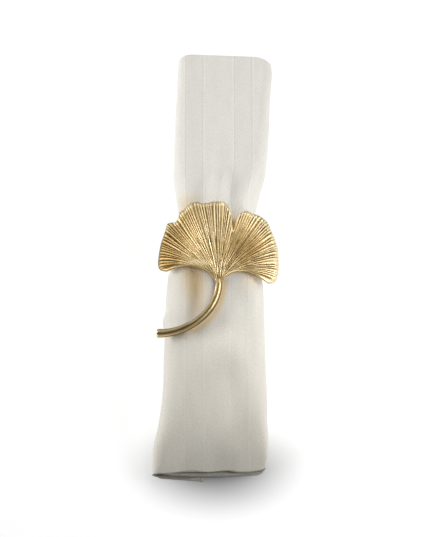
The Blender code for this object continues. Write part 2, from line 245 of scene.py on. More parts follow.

# Parts with weaker veins: (x, y, half_width, half_length).
BURNISHED_SPOT = (15.5, -5.0, 12.0, 9.0)
RUBBED_SPOT = (-16.0, -19.0, 10.0, 5.0)
# Painted highlights (+) and painted shade (-) on the metal: (x, y, half_width, half_length, change).
PAINTED_LIGHT_PATCHES = (
    (-24.0, -2.0, 13.0, 16.0, -0.38),
    (-6.0, -4.0, 8.0, 10.0, 0.30),
    (-34.0, -7.0, 5.0, 15.0, -0.70),
    (-31.0, -18.0, 8.0, 6.0, -0.80),
    (-13.0, -21.5, 8.0, 3.5, 0.75),
    (1.0, 12.0, 8.0, 8.0, 0.25),
    (12.0, -17.0, 9.0, 6.0, -0.20),
    (26.0, 6.0, 10.0, 8.0, 0.25),
    (18.0, -13.0, 11.0, 9.0, -0.26),
    (34.0, -12.0, 5.0, 16.0, 0.50),
    (0.5, -29.0, 9.0, 10.0, 0.35),
)
GROOVE_BRASS = (0.17, 0.10, 0.03, 1.0)
DULL_BRASS = (0.21, 0.135, 0.045, 1.0)
PLAIN_BRASS = (0.54, 0.395, 0.19, 1.0)
BRIGHT_BRASS = (0.80, 0.64, 0.36, 1.0)
CREST_BRASS = (0.97, 0.82, 0.52, 1.0)

# ---- the stem -----------------------------------------------------------------------
STEM_CURVE = ((0.9, -28.5), (1.55, -46.8), (-15.9, -59.05), (-33.0, -56.45))
STEM_BEND_RADIUS = 100.0
STEM_LIFT = 2.7
STEM_LIFT_SHARE = (0.1, 0.8)
STEM_RADIUS_TOP = 2.0
STEM_RADIUS_TIP = 2.35
STEM_WAIST = 0.15
STEM_WAIST_AT, STEM_WAIST_LENGTH = 0.55, 0.25
STEM_TIP_FLARE = 0.1
STEM_TIP_SHARE = (0.85, 1.0)
STEM_TIP_CROWN = 0.35
STEM_ROOT_SHARE = (0.08, 0.0)        # over this share the root narrows and dives into the blade
STEM_ROOT_TAPER = 0.2
STEM_PROUD = 0.3
STEM_PROUD_AT_ROOT = -0.7
STEM_STEPS = 90
STEM_SIDES = 48
# Round the stem, in degrees: where the groove lies at the root and at the tip, and the
# rest as (degrees from the groove, width).
STEM_GROOVE_AT = (84.0, 118.0)
STEM_GROOVE_TURNS = (0.2, 0.95)
STEM_GROOVE = (0.0, 11.0)
STEM_RIDGES = ((26.0, 10.0), (-36.0, 14.0))
STEM_SECOND_GROOVE = (-62.0, 9.0)
# The stem is painted darker past these degrees from the groove: painted shade.
STEM_SHADED = (38.0, 62.0)

# ---- the band -----------------------------------------------------------------------
BAND_THICKNESS = 1.2
BAND_CORNER = 0.35
BAND_CORNER_STEPS = 5
BAND_SEGMENTS = 160
BRUSHED_ROUND, BRUSHED_ACROSS = 3.0, 6.0      # how fine the brushing is each way
BAND_BRASS = ((0.74, 0.55, 0.27, 1.0), (0.88, 0.68, 0.38, 1.0))

# ---- camera, light and floor, in metres -----------------------------------------------
VIEW_ELEVATION = math.radians(68.0)
VIEW_DISTANCE = 1.8
VIEW_TARGET = np.array([-1.3, -13.9, 20.0]) * MM + ORIGIN
VIEW_LENS = 214.3
VIEW_SENSOR = 36.0
VIEW_CLIP_END = 10.0
ROOM_COLOUR = (1.0, 0.99, 0.975, 1.0)
ROOM_STRENGTH = 0.05
RING = (0.0, 0.0, 0.0)
NECK = (0.012, -0.045, 0.03)
# Softboxes: (name, place, size, power, what it is aimed at).
SOFTBOXES = (
    ("back_softbox", (0.0, 0.16, 0.30), (0.26, 0.18), 0.33, RING),
    ("low_back_softbox", (0.0, 0.45, 0.30), (0.3, 0.2), 0.20, RING),
    ("left_panel", (-1.23, -0.05, 0.40), (0.8, 0.5), 10.4, RING),
    ("left_softbox", (-0.52, -0.12, 0.30), (0.4, 0.3), 0.26, RING),
    ("right_softbox", (0.52, 0.02, 0.30), (0.4, 0.3), 1.8, RING),
    ("right_reflector", (0.16, -0.10, 0.12), (0.06, 0.06), 0.055, NECK),
    ("top_reflector", (0.05, -0.06, 0.16), (0.04, 0.04), 0.041, NECK),
)
FLOOR_REACH = 6.0
FLOOR_GREY = (0.29, 0.29, 0.29, 1.0)
# Painted light: the grey floor glows white except round the near end, where the roll's shadow shows.
FLOOR_GLOW = 0.80
SHADE_MIDDLE = np.array([0.0, -125.5, 0.0]) * MM + ORIGIN
SHADE_RADII = (40.0, 24.0, 1000.0)
SHADE_FADE = 1.45


# ---- numbers ----------------------------------------------------------------------------
def smoothstep(low, high, value):
    share = np.clip((value - low) / (high - low), 0.0, 1.0)
    return share * share * (3.0 - 2.0 * share)


def mix(start, end, share):
    return start + (end - start) * share


def bell(distance):
    return np.exp(-distance ** 2)


def from_spot(x, y, spot):
    """Distance from a spot's middle, 1 where its half width or half length is reached."""
    return np.hypot((x - spot[0]) / spot[2], (y - spot[1]) / spot[3])


def smooth_line(knots, values, at):
    """A smooth line through the values that never overshoots them and is level beyond them."""
    knots = np.asarray(knots, float)
    values = np.asarray(values, float)
    widths = np.diff(knots)
    slopes = np.diff(values) / widths
    tangents = np.zeros_like(values)
    same_way = slopes[:-1] * slopes[1:] > 0
    harmonic = 2.0 * slopes[:-1] * slopes[1:] / np.where(same_way, slopes[:-1] + slopes[1:], 1.0)
    tangents[1:-1] = np.where(same_way, harmonic, 0.0)
    tangents[0] = slopes[0]
    tangents[-1] = slopes[-1]
    span = np.clip(np.searchsorted(knots, at) - 1, 0, len(widths) - 1)
    width = widths[span]
    share = np.clip((at - knots[span]) / width, 0.0, 1.0)
    rest = 1.0 - share
    start = values[span] * (1 + 2 * share) * rest ** 2
    start = start + tangents[span] * width * share * rest ** 2
    end = values[span + 1] * (3 - 2 * share) * share ** 2
    end = end - tangents[span + 1] * width * rest * share ** 2
    return start + end


def cubic(points, share):
    """Points on cubic curves: four control points, each (..., 2), at the shares."""
    rest = 1.0 - share
    weights = (rest ** 3, 3 * rest ** 2 * share, 3 * rest * share ** 2, share ** 3)
    return sum(weight[..., None] * np.asarray(point) for weight, point in zip(weights, points))


def through_points(points, steps):
    """A smooth open curve through the points, with some steps for each span."""
    padded = np.array([points[0], *points, points[-1]], float)
    share = np.arange(steps) / steps
    spans = []
    for before, start, end, after in zip(padded, padded[1:], padded[2:], padded[3:]):
        pulls = (start, start + (end - before) / 6.0, end - (after - start) / 6.0, end)
        spans.append(cubic(pulls, share))
    return np.vstack(spans + [padded[-1:]])


# ---- meshes and materials ------------------------------------------------------------------
def grid_faces(rows, columns, wrap_rows=False, wrap_columns=False):
    """Quads over a grid of rows x columns, closed round where it wraps."""
    row = np.arange(rows if wrap_rows else rows - 1)
    column = np.arange(columns if wrap_columns else columns - 1)
    row, column = np.meshgrid(row, column, indexing="ij")
    next_row = (row + 1) % rows
    next_column = (column + 1) % columns
    quads = np.stack([row * columns + column, row * columns + next_column,
                      next_row * columns + next_column, next_row * columns + column], axis=-1)
    return quads.reshape(-1, 4)


def new_piece(name, points, faces, material, facts):
    """A smooth mesh piece from points in millimetres; facts are named values on its points."""
    mesh = bpy.data.meshes.new(name)
    placed = np.asarray(points) * MM + ORIGIN
    mesh.from_pydata(placed.tolist(), [], [list(face) for face in faces])
    mesh.validate()
    for fact, values in facts.items():
        values = np.asarray(values, float)
        kind = "FLOAT" if values.ndim == 1 else "FLOAT_VECTOR"
        field = "value" if values.ndim == 1 else "vector"
        mesh.attributes.new(fact, kind, "POINT").data.foreach_set(field, values.ravel())
    mesh.shade_smooth()
    mesh.materials.append(material)
    piece = bpy.data.objects.new(name, mesh)
    bpy.context.scene.collection.objects.link(piece)
    return piece


class Nodes:
    """Short calls for building one material's node tree."""

    def __init__(self, name):
        self.material = bpy.data.materials.new(name)
        self.material.use_nodes = True
        self.tree = self.material.node_tree
        self.shader = self.tree.nodes["Principled BSDF"]

    def put(self, value, socket):
        if isinstance(value, bpy.types.NodeSocket):
            self.tree.links.new(value, socket)
        else:
            socket.default_value = value

    def surface(self, inputs):
        """Sets the surface's inputs, by name, to constant values or to other nodes' results."""
        for name, value in inputs.items():
            self.put(value, self.shader.inputs[name])

    def add(self, kind, output=0, inputs=(), **settings):
        node = self.tree.nodes.new(kind)
        for setting, value in settings.items():
            setattr(node, setting, value)
        for key, value in dict(inputs).items():
            self.put(value, node.inputs[key])
        return node.outputs[output]

    def fact(self, name, output="Fac"):
        return self.add("ShaderNodeAttribute", output, attribute_name=name)

    def maths(self, operation, first, second=0.0):
        return self.add("ShaderNodeMath", 0, {0: first, 1: second}, operation=operation)

    def plus(self, first, second):
        return self.maths("ADD", first, second)

    def minus(self, first, second):
        return self.maths("SUBTRACT", first, second)

    def times(self, first, second):
        return self.maths("MULTIPLY", first, second)

    def weighted(self, base, *terms):
        """The base with each term's value times its weight added in turn."""
        total = base
        for value, weight in terms:
            total = self.plus(total, self.times(value, weight))
        return total

    def vector(self, operation, first, second):
        return self.add("ShaderNodeVectorMath", 0, {0: first, 1: second}, operation=operation)

    def ramp(self, value, low, high, start=0.0, end=1.0):
        return self.add("ShaderNodeMapRange", 0, {0: value, 1: low, 2: high, 3: start, 4: end},
                        interpolation_type="SMOOTHSTEP")

    def line(self, value, at, width):
        """1 where value equals at, falling smoothly to 0 a width away."""
        away = self.maths("ABSOLUTE", self.minus(value, at))
        return self.ramp(away, 0.0, width, 1.0, 0.0)

    def blend(self, share, first, second):
        return self.add("ShaderNodeMix", 2, {0: share, 6: first, 7: second}, data_type="RGBA")

    def wave(self, value, frequency, middle, swing):
        """A sine of the value that swings about a middle."""
        turned = self.maths("SINE", self.times(value, frequency))
        return self.plus(middle, self.times(turned, swing))

    def noise(self, vector, scale, detail=2.0, roughness=0.5):
        return self.add("ShaderNodeTexNoise", 0, {"Vector": vector, "Scale": scale,
                                                  "Detail": detail, "Roughness": roughness})

    def bump(self, height, strength, distance):
        return self.add("ShaderNodeBump", 0,
                        {"Height": height, "Strength": strength, "Distance": distance})


def cloth_stripes(made, across, along):
    """The twill bands (1 in them), and the dark and light lines along their edges."""
    band = made.maths("FLOORED_MODULO", made.plus(across, TWILL_WIDTH), STRIPE_PERIOD)
    twill = made.times(made.ramp(band, 0.0, 0.3), made.ramp(band, TWILL_WIDTH, TWILL_WIDTH - 0.3))
    dark = made.plus(made.line(band, TWILL_WIDTH - 0.25, 0.45), made.line(band, 0.45, 0.40))
    light = made.plus(made.line(band, TWILL_WIDTH + 0.45, 0.50),
                      made.line(band, STRIPE_PERIOD - 0.3, 0.45))
    stitches = made.wave(along, 5.2, 0.45, 0.55)
    # The lines are fainter towards the near end and on the roll's left side.
    strength = made.times(made.ramp(along, -60.0, 10.0, 0.45, 1.0),
                          made.ramp(across, -17.0, -13.0, 0.4, 1.0))
    dark = made.times(dark, made.times(stitches, strength))
    light = made.times(made.times(light, made.minus(1.2, stitches)), strength)
    return twill, dark, light


def cloth_material():
    """White cotton: bands of twill between wider bands of satin, along the roll."""
    made = Nodes("striped_cotton")
    place = made.fact("cloth_mm", "Vector")
    across, along = (made.add("ShaderNodeSeparateXYZ", axis, {0: place}) for axis in (0, 1))
    twill, dark_line, light_line = cloth_stripes(made, across, along)

    slant = made.plus(made.times(across, 4.6), made.times(along, 3.6))
    diagonal = made.times(made.wave(slant, 1.0, 0.5, 0.5), twill)
    threads = [made.noise(made.vector("MULTIPLY", place, stretch), 1.0, 2.0, 0.6)
               for stretch in ((0.7, 2.7, 1.0), (2.7, 0.7, 1.0))]
    grain = made.minus(made.plus(*threads), 1.0)
    cloud = made.minus(made.noise(made.vector("MULTIPLY", place, (0.22, 0.06, 1.0)), 1.0), 0.5)
    height = made.weighted(0.0, (diagonal, 0.035), (grain, 0.16), (light_line, 0.08),
                           (dark_line, -0.06))
    shade = made.weighted(0.98, (grain, 0.32), (cloud, 0.10), (diagonal, -0.032),
                          (dark_line, -0.20), (light_line, 0.13))

    # Painted shade makes the near hem a little darker, most of all on the flap at the left.
    painted_flap_shade = made.ramp(across, -34.0, -46.0, 0.04, 0.30)
    hem = made.times(made.ramp(along, -124.5, -129.3), painted_flap_shade)
    shade = made.times(shade, made.minus(1.0, hem))
    # Painted shade: the cotton grows darker and warmer from the far half to the near end.
    cotton = made.blend(made.ramp(along, 60.0, -130.0), FAR_COTTON, NEAR_COTTON_IN_PAINTED_SHADE)
    # Painted gold-tinted shade blends the cotton towards a darker gold.
    cotton = made.blend(made.fact("painted_gold_shade"), cotton, COTTON_IN_PAINTED_GOLD_SHADE)
    tint = made.add("ShaderNodeVectorMath", 0, {0: cotton, 3: shade}, operation="SCALE")
    made.surface({"Base Color": tint, "Roughness": 0.7, "Sheen Weight": 0.15,
                  "Sheen Roughness": 0.45, "Specular IOR Level": 0.35,
                  "Normal": made.bump(height, 0.8, 1.0 * MM)})
    return made.material


def leaf_material():
    """Soft gold casting: bright on the ridges, dark in the grooves."""
    made = Nodes("veined_brass")
    relief = made.fact("relief")
    place = made.fact("leaf_mm", "Vector")
    cloudy = made.minus(made.noise(place, 0.35, 3.0, 0.6), 0.5)
    pits = made.noise(place, 3.2, 3.0, 0.6)
    # Painted highlights and shade, with random clouds of tone, set how bright the metal is.
    wear_and_painted_light = made.weighted(made.fact("wear_and_painted_light"), (cloudy, 0.5))
    dull = made.blend(made.ramp(wear_and_painted_light, 0.0, 0.5), DULL_BRASS, PLAIN_BRASS)
    metal = made.blend(made.ramp(wear_and_painted_light, 0.5, 1.0), dull, BRIGHT_BRASS)
    crest = made.times(made.ramp(relief, 0.62, 0.95), made.ramp(wear_and_painted_light, 0.15, 0.75, 0.1, 0.7))
    metal = made.blend(crest, metal, CREST_BRASS)
    colour = made.blend(made.ramp(relief, 0.10, 0.66), GROOVE_BRASS, metal)
    rough = made.weighted(made.ramp(relief, 0.0, 1.0, 0.54, 0.34), (cloudy, 0.12))
    made.surface({"Base Color": colour, "Metallic": 1.0, "Roughness": rough,
                  "Normal": made.bump(pits, 0.25, 0.25 * MM)})
    return made.material


def band_material():
    """The same gold, brushed round the band."""
    made = Nodes("brushed_brass")
    brushed = made.noise(made.fact("band_mm", "Vector"), 1.0, 4.0, 0.7)
    made.surface({"Base Color": made.blend(brushed, *BAND_BRASS), "Metallic": 1.0,
                  "Roughness": made.ramp(brushed, 0.3, 0.7, 0.30, 0.40),
                  "Normal": made.bump(brushed, 0.2, 0.1 * MM)})
    return made.material


# ---- the napkin ------------------------------------------------------------------------------
def section(y):
    """The roll's section values at each y."""
    knots = [row[0] for row in SECTIONS]
    return {column: smooth_line(knots, [row[number] for row in SECTIONS], y)
            for number, column in enumerate(SECTION_COLUMNS) if column != "y"}


def fold_height(x, y):
    height = np.zeros(np.broadcast(x, y).shape)
    for row in FOLDS:
        fold = dict(zip(FOLD_COLUMNS, row))
        across = (x - fold["x"] - fold["lean"] * (y - fold["y"])) / fold["half_width"]
        height += fold["height"] * bell(across) * bell((y - fold["y"]) / fold["half_length"])
    return height


def depth_in_roll(turn):
    first = LAYER_PITCH * np.maximum(0.0, turn - FLAT_START) / (1.0 - FLAT_START)
    return np.where(turn < 1.0, first, LAYER_PITCH * turn)


def facing(place, roundness):
    """For a place in a turn (0 to 1): the angle the cloth faces, and its share along the flat."""
    marks = (0.0, *LEFT_BEND, *RIGHT_BEND, 1.0)
    flat = np.interp(place, marks, (0.0, -1.0, -1.0, 1.0, 1.0, 0.0))
    resting = np.interp(place, marks, (-90.0, -90.0, -270.0, -270.0, -450.0, -450.0))
    left = mix(-UNDER_SPREAD, TOP_SPREAD, np.interp(place, LEFT_BEND, (0.0, 1.0)))
    right = mix(-TOP_SPREAD, UNDER_SPREAD, np.interp(place, RIGHT_BEND, (0.0, 1.0)))
    turned = np.select([place < mark for mark in marks[1:5]],
                       [UNDER_SPREAD * flat, left, -TOP_SPREAD * flat, right],
                       UNDER_SPREAD * flat)
    return np.radians(resting + roundness * turned), flat


def roll_points(turn, y, skin):
    """Points of the wound cloth for arrays of turns, stations along Y and depths in the cloth."""
    part = section(y)
    place = turn % 1.0
    angle, flat = facing(place, part["roundness"])
    side = np.cos(angle)
    rise = np.sin(angle)
    under = np.minimum(rise, 0.0)
    over = np.maximum(rise, 0.0)
    press = mix(1.0, PRESSED, smoothstep(PRESS_FROM, NEAR_END, y))
    spread = (1.0 + RING_LOOSENESS * part["roundness"]) * press
    depth = depth_in_roll(turn) * spread + skin * press
    half_height = part["height"] / 2.0
    outside_x = (part["half_width"] - half_height) * flat + half_height * side
    x = outside_x - depth * side
    z = part["floor_gap"] + half_height + (half_height - depth) * rise

    # Each turn comes down on the right by its own depth, to lie on the turn outside it.
    right_under = smoothstep(1.0, 0.96, place) * (place > 0.5)
    z = z + depth_in_roll(place) * spread * under * right_under
    looseness = smoothstep(*LOOSE_ALONG, y)
    stack = (turn >= RIGHT_BEND[1]) & ((place < 0.5) | (place > RIGHT_BEND[1]))
    lift = np.where(stack, smoothstep(*LOOSE_WRAP_ACROSS, flat), 0.0)
    z = z - LOOSE_WRAP_GAP * looseness * lift * under
    z = z - RIGHT_SIDE_DROP * looseness * smoothstep(*RIGHT_SIDE_ACROSS, flat) * over
    z = z + fold_height(outside_x + part["centre"], y) * over

    bulge = BULGE * bell((y - BULGE_AT) / BULGE_HALF_LENGTH)
    bulge = bulge * smoothstep(0.6, 1.0, -x / part["half_width"])
    x = x - bulge * smoothstep(-1.0, 0.2, rise)
    moved = shaped_ends(turn, x, y, part, under, over)
    return np.stack(np.broadcast_arrays(x + part["centre"], moved, z), axis=-1)


def shaped_ends(turn, x, y, part, under, over):
    """The points' places along the roll, with the cloth's edges shaped at both ends."""
    near = smoothstep(NEAR_END + NEAR_END_DEPTH, NEAR_END, y)
    far = smoothstep(FAR_END - FAR_END_DEPTH, FAR_END, y)
    loose = np.clip((LOOSE_EDGE_TO - turn) / LOOSE_EDGE_TO, 0.0, 1.0)
    moved = y - LOOSE_EDGE_REACH * near * loose
    moved = moved + NEAR_END_SKEW * near * x / part["half_width"]
    moved = moved + INNER_TURN_SETBACK * near * turn
    reach = smooth_line(*zip(*STACK_REACH), x + part["centre"])
    moved = moved + near * under * reach * smoothstep(0.7, 0.9, turn)
    moved = moved - FAR_END_SKEW * far * x / part["half_width"]
    # On the left the top turn wanders alone, and on the right the next turns follow it.
    wander = smooth_line(*zip(*END_WAVE), x + part["centre"])
    follows = np.maximum(smoothstep(1.2, 0.9, turn), 0.9 * smoothstep(-6.0, 8.0, x))
    moved = moved + near * over * wander * follows
    inner = near * smoothstep(0.9, 1.2, turn)
    moved = moved + inner * INNER_TURN_WANDER * np.sin(5.0 * turn + 0.13 * x)
    edge = np.maximum(0.0, (np.abs(x) - part["half_width"] + CORNER_WIDTH) / CORNER_WIDTH)
    far_corner = np.where(x > 0, FAR_CORNER_RIGHT * edge ** 1.2, FAR_CORNER_LEFT * edge ** 2)
    near_corner = np.where(x > 0, NEAR_CORNER_RIGHT * edge ** 4, 0.0)
    return moved - far * far_corner + near * near_corner


def painted_gold_shade(x, y):
    """How much painted gold-tinted shade the leaf and its stem lay on the cloth beside them."""
    cast = np.zeros(x.shape)
    for patch in PAINTED_GOLD_SHADE_PATCHES:
        cast = cast + patch[4] * bell(from_spot(x, y, patch))
    spine = cubic(STEM_CURVE, np.linspace(0.0, 1.0, STEM_CAST_POINTS)) + STEM_CAST_OFFSET
    away = np.hypot(x[..., None] - spine[:, 0], y[..., None] - spine[:, 1])
    strength = mix(1.0, STEM_CAST_AT_TIP, smoothstep(*STEM_CAST_FADE, np.argmin(away, axis=-1)))
    nearby = bell(np.min(away, axis=-1) / STEM_CAST_WIDTH)
    return np.clip(cast + STEM_CAST * strength * nearby, 0.0, 1.0)


def stations():
    """Places along the roll, closer together at its ends and round the ring."""
    y = NEAR_END
    made = [y]
    while y < FAR_END - STATION_STEP_LAST:
        to_end = min(y - NEAR_END, FAR_END - y)
        y += min(STATION_STEP, END_STEP + END_STEP_GROWTH * to_end,
                 RING_STEP + RING_STEP_GROWTH * abs(y))
        made.append(min(y, FAR_END))
    made[-1] = FAR_END
    return np.array(made)


def cloth_lap(along):
    """One lap round the doubled cloth's own section, as places along the roll and depths.

    It goes out over the top ply, round the fold at the far end, back under the lower
    ply, and then between the plies.
    """
    fold = np.radians(np.linspace(-FAR_FOLD_ANGLE, FAR_FOLD_ANGLE, FAR_FOLD_STEPS))
    radius = PLY_PAIR / 2.0
    inner = along[:-1]
    hem = [along[0] - 0.1]
    places = [along, along[-1] + radius * np.cos(fold), along[::-1],
              hem, inner, inner[::-1], hem]
    depths = [np.zeros(len(along)), radius + radius * np.sin(fold),
              np.full(len(along), PLY_PAIR), [PLY_PAIR - PLY / 2],
              np.full(len(inner), PLY_PAIR - PLY), np.full(len(inner), PLY), [PLY / 2]]
    return np.concatenate(places), np.concatenate(depths)


def cloth_places(turns, lap_y):
    """Where each point lies on the flat cloth: along the winding, and along the roll."""
    outer = roll_points(turns[None, :], lap_y[:, None], np.zeros((len(lap_y), 1)))
    steps = np.hypot(np.diff(outer[..., 0]), np.diff(outer[..., 2]))
    wound = np.concatenate([np.zeros((len(lap_y), 1)), np.cumsum(steps, axis=1)], axis=1)
    top = (turns > TOP_OF_TURN[0]) & (turns < TOP_OF_TURN[1])
    start = np.array([np.interp(STRIPE_LINE_X, outer[row, top, 0], wound[row, top])
                      for row in range(len(lap_y))])
    narrow = mix(1.0, STRIPE_NARROWED, smoothstep(*STRIPE_NARROWS_ALONG, lap_y))
    across = (wound - start[:, None]) / narrow[:, None]
    return np.stack([across, np.broadcast_to(lap_y[:, None], across.shape),
                     np.zeros_like(across)], axis=-1)


def make_napkin(material):
    turns = np.concatenate([np.linspace(FREE_EDGE_AT, FINE_TURN_TO, FINE_TURN_STEPS)[:-1],
                            np.linspace(FINE_TURN_TO, TURNS, INNER_TURN_STEPS)])
    along = stations()
    lap_y, lap_depth = cloth_lap(along)
    points = roll_points(turns[None, :], lap_y[:, None], lap_depth[:, None])
    cloth = cloth_places(turns, lap_y)
    cast = painted_gold_shade(points[..., 0], points[..., 1])
    cast = cast * smoothstep(*GOLD_FROM_HEIGHT, points[..., 2])

    rows, columns = points.shape[:2]
    faces = grid_faces(rows, columns, wrap_rows=True).tolist()
    for column, flip in ((0, False), (columns - 1, True)):
        faces += side_edge_faces(column, rows, columns, len(along), flip)
    return new_piece("napkin_cloth", points.reshape(-1, 3), faces, material,
                     {"cloth_mm": cloth.reshape(-1, 3), "painted_gold_shade": cast.ravel()})


def side_edge_faces(column, rows, columns, count, flip):
    """Closes one side edge of the cloth: each lap closes on itself, ply by ply."""
    lower_start = count + FAR_FOLD_STEPS
    lower_edge = lower_start + count
    upper_edge = rows - 1
    outer = list(range(count))
    bend = list(range(count, lower_start))
    lower = list(range(lower_start, lower_edge))[::-1]
    between_lower = list(range(lower_edge + 1, lower_edge + count))
    between_upper = list(range(lower_edge + count, upper_edge))[::-1]
    faces = []
    for step in range(count - 2):
        faces.append([outer[step], outer[step + 1], between_upper[step + 1], between_upper[step]])
    for step in range(count - 2):
        faces.append([lower[step + 1], lower[step], between_lower[step], between_lower[step + 1]])
    faces.append([outer[0], between_upper[0], upper_edge])
    faces.append([lower[0], lower_edge, between_lower[0]])
    faces.append([outer[-2], outer[-1], *bend, lower[-1], lower[-2],
                  between_lower[-1], between_upper[-1]])
    faces = [[row * columns + column for row in face] for face in faces]
    return [face[::-1] for face in faces] if flip else faces


# ---- the leaf ----------------------------------------------------------------------------------
def dome_height(x, y):
    drop = DOME_RADIUS - np.sqrt(DOME_RADIUS ** 2 - x ** 2)
    return LEAF_TOP - drop - y ** 2 / np.where(y < 0.0, NEAR_BOW, FAR_BOW)


def resample(values, ruler, count):
    """Values read again at even steps of a rising ruler."""
    at = np.linspace(ruler[0], ruler[-1], count)
    return np.stack([np.interp(at, ruler, column) for column in np.atleast_2d(values.T)], axis=-1)


def leaf_veins():
    """For every column of the leaf: rim point, root, bend, vein count so far, and lobe."""
    left = through_points(LEFT_RIM, RIM_STEPS)
    right = through_points(RIGHT_RIM, RIM_STEPS)
    rim = np.vstack([left, right])
    is_right = np.concatenate([np.zeros(len(left)), np.ones(len(right))])
    share = np.arange(len(rim)) / (len(rim) - 1)
    root = mix(np.array(LEFT_ROOT), np.array(RIGHT_ROOT), share[:, None])
    bend = np.concatenate([(1.0 - np.arange(len(left)) / len(left)) ** 3,
                           ((np.arange(len(right)) + 1) / len(right)) ** 3])
    step = np.diff(rim, axis=0, prepend=rim[:1])
    way = rim - root
    way /= np.linalg.norm(way, axis=1, keepdims=True)
    sideways = np.abs(step[:, 0] * way[:, 1] - step[:, 1] * way[:, 0])
    veins = np.cumsum(sideways) / VEIN_SPACING
    ruler = veins + np.cumsum(np.linalg.norm(step, axis=1)) / RIM_PER_COLUMN
    ruler = ruler + 1e-6 * np.arange(len(rim))
    table = np.column_stack([rim, root, bend, veins, is_right])
    return resample(table, ruler, LEAF_COLUMNS)


def leaf_places(rim, root, bend, is_right, reach):
    """The blade seen from above: each column runs from its root to the rim."""
    run = rim - root
    straight_first = root + 0.1 * run + np.array([0.0, ROOT_RISE])
    straight_second = root + 0.6 * run
    on_right = is_right[:, None] > 0.5
    first_pull = np.where(on_right, RIGHT_MARGIN_PULLS[0], LEFT_MARGIN_PULLS[0])
    second_pull = np.where(on_right, RIGHT_MARGIN_PULLS[1], LEFT_MARGIN_PULLS[1])
    pulls = (root, mix(straight_first, first_pull, bend[:, None]),
             mix(straight_second, second_pull, bend[:, None]), rim)
    flat = cubic([pull[:, None, :] for pull in pulls],
                 np.broadcast_to(reach, (len(rim), LEAF_ROWS)))
    return flat[..., 0], flat[..., 1]


def leaf_relief(veins, reach, x, y, is_right):
    """Veins: rise in millimetres, height and strength as shares, and the burnished spot, painted dark as
    painted shade.
    """
    wander = veins + 0.25 * np.sin(0.83 * veins) + 0.10 * np.sin(2.17 * veins + 1.0)
    wander = wander + 0.10 * np.sin(5.0 * reach + 1.9 * veins)
    uneven = reach + (0.06 * np.sin(1.7 * veins) + 0.04 * np.sin(4.3 * veins))
    ridge = np.zeros(x.shape)
    spacing = np.zeros(x.shape)
    for level, (start, stop) in enumerate(zip(VEIN_FORKS, VEIN_FORKS[1:])):
        period = 2.0 ** (3 - level)
        here = smoothstep(start - FORK_BLEND, start + FORK_BLEND, uneven)
        here = here * (1.0 - smoothstep(stop - FORK_BLEND, stop + FORK_BLEND, uneven))
        wave = 0.5 + 0.5 * np.cos(2.0 * math.pi * wander / period)
        ridge = ridge + here * wave ** 0.8
        spacing = spacing + here * period * reach * VEIN_SPACING
    strong = 0.85 + 0.25 * np.sin(1.31 * veins + 2.0) + 0.15 * np.sin(3.1 * veins)
    blotch = np.sin(0.31 * x + 0.6 * np.sin(0.25 * y)) * np.sin(0.27 * y + 1.0)
    strong = strong * (0.90 + 0.16 * blotch) * smoothstep(0.03, 0.12, reach)
    burnished_and_painted_dark = is_right * smoothstep(1.35, 0.45, from_spot(x, y, BURNISHED_SPOT))
    rubbed = bell(from_spot(x, y, RUBBED_SPOT))
    strong = np.clip(strong * (1.0 - 0.55 * burnished_and_painted_dark) * (1.0 - 0.55 * rubbed), 0.0, 1.4)
    return VEIN_RISE * spacing * (ridge - 0.5) * strong, ridge, strong, burnished_and_painted_dark


def leaf_painted_light(x, y, burnished_and_painted_dark, margin):
    """How bright the metal is painted to look under the light: 0.5 is plain, 0 dull, 1 bright."""
    # Painted highlight along the margins and rim, and painted shade on the burnished spot.
    wear_and_painted_light = 0.5 + 0.35 * margin - 0.20 * burnished_and_painted_dark
    for patch in PAINTED_LIGHT_PATCHES:
        wear_and_painted_light = wear_and_painted_light + patch[4] * bell(from_spot(x, y, patch))
    return np.clip(wear_and_painted_light, 0.0, 1.0)


def border_loop(rows, columns):
    """The numbers of the points round a grid's edge, in order."""
    return np.concatenate([np.arange(columns), np.arange(1, rows) * columns + columns - 1,
                           (rows - 1) * columns + np.arange(columns - 2, -1, -1),
                           np.arange(rows - 2, 0, -1) * columns])


def leaf_faces(upper_shape, lower_shape):
    """Faces of the fine upper side, the plain underside and the edge between them."""
    count = upper_shape[0] * upper_shape[1]
    faces = grid_faces(*upper_shape)[:, ::-1].tolist()
    faces += (grid_faces(*lower_shape) + count).tolist()
    fine = border_loop(*upper_shape)
    coarse = border_loop(*lower_shape) + count
    for number, corner in enumerate(coarse):
        following = coarse[(number + 1) % len(coarse)]
        first = number * UNDERSIDE_STEP
        run = [fine[(first + step) % len(fine)] for step in range(UNDERSIDE_STEP + 1)]
        faces.append([*run, following, corner])
    return faces


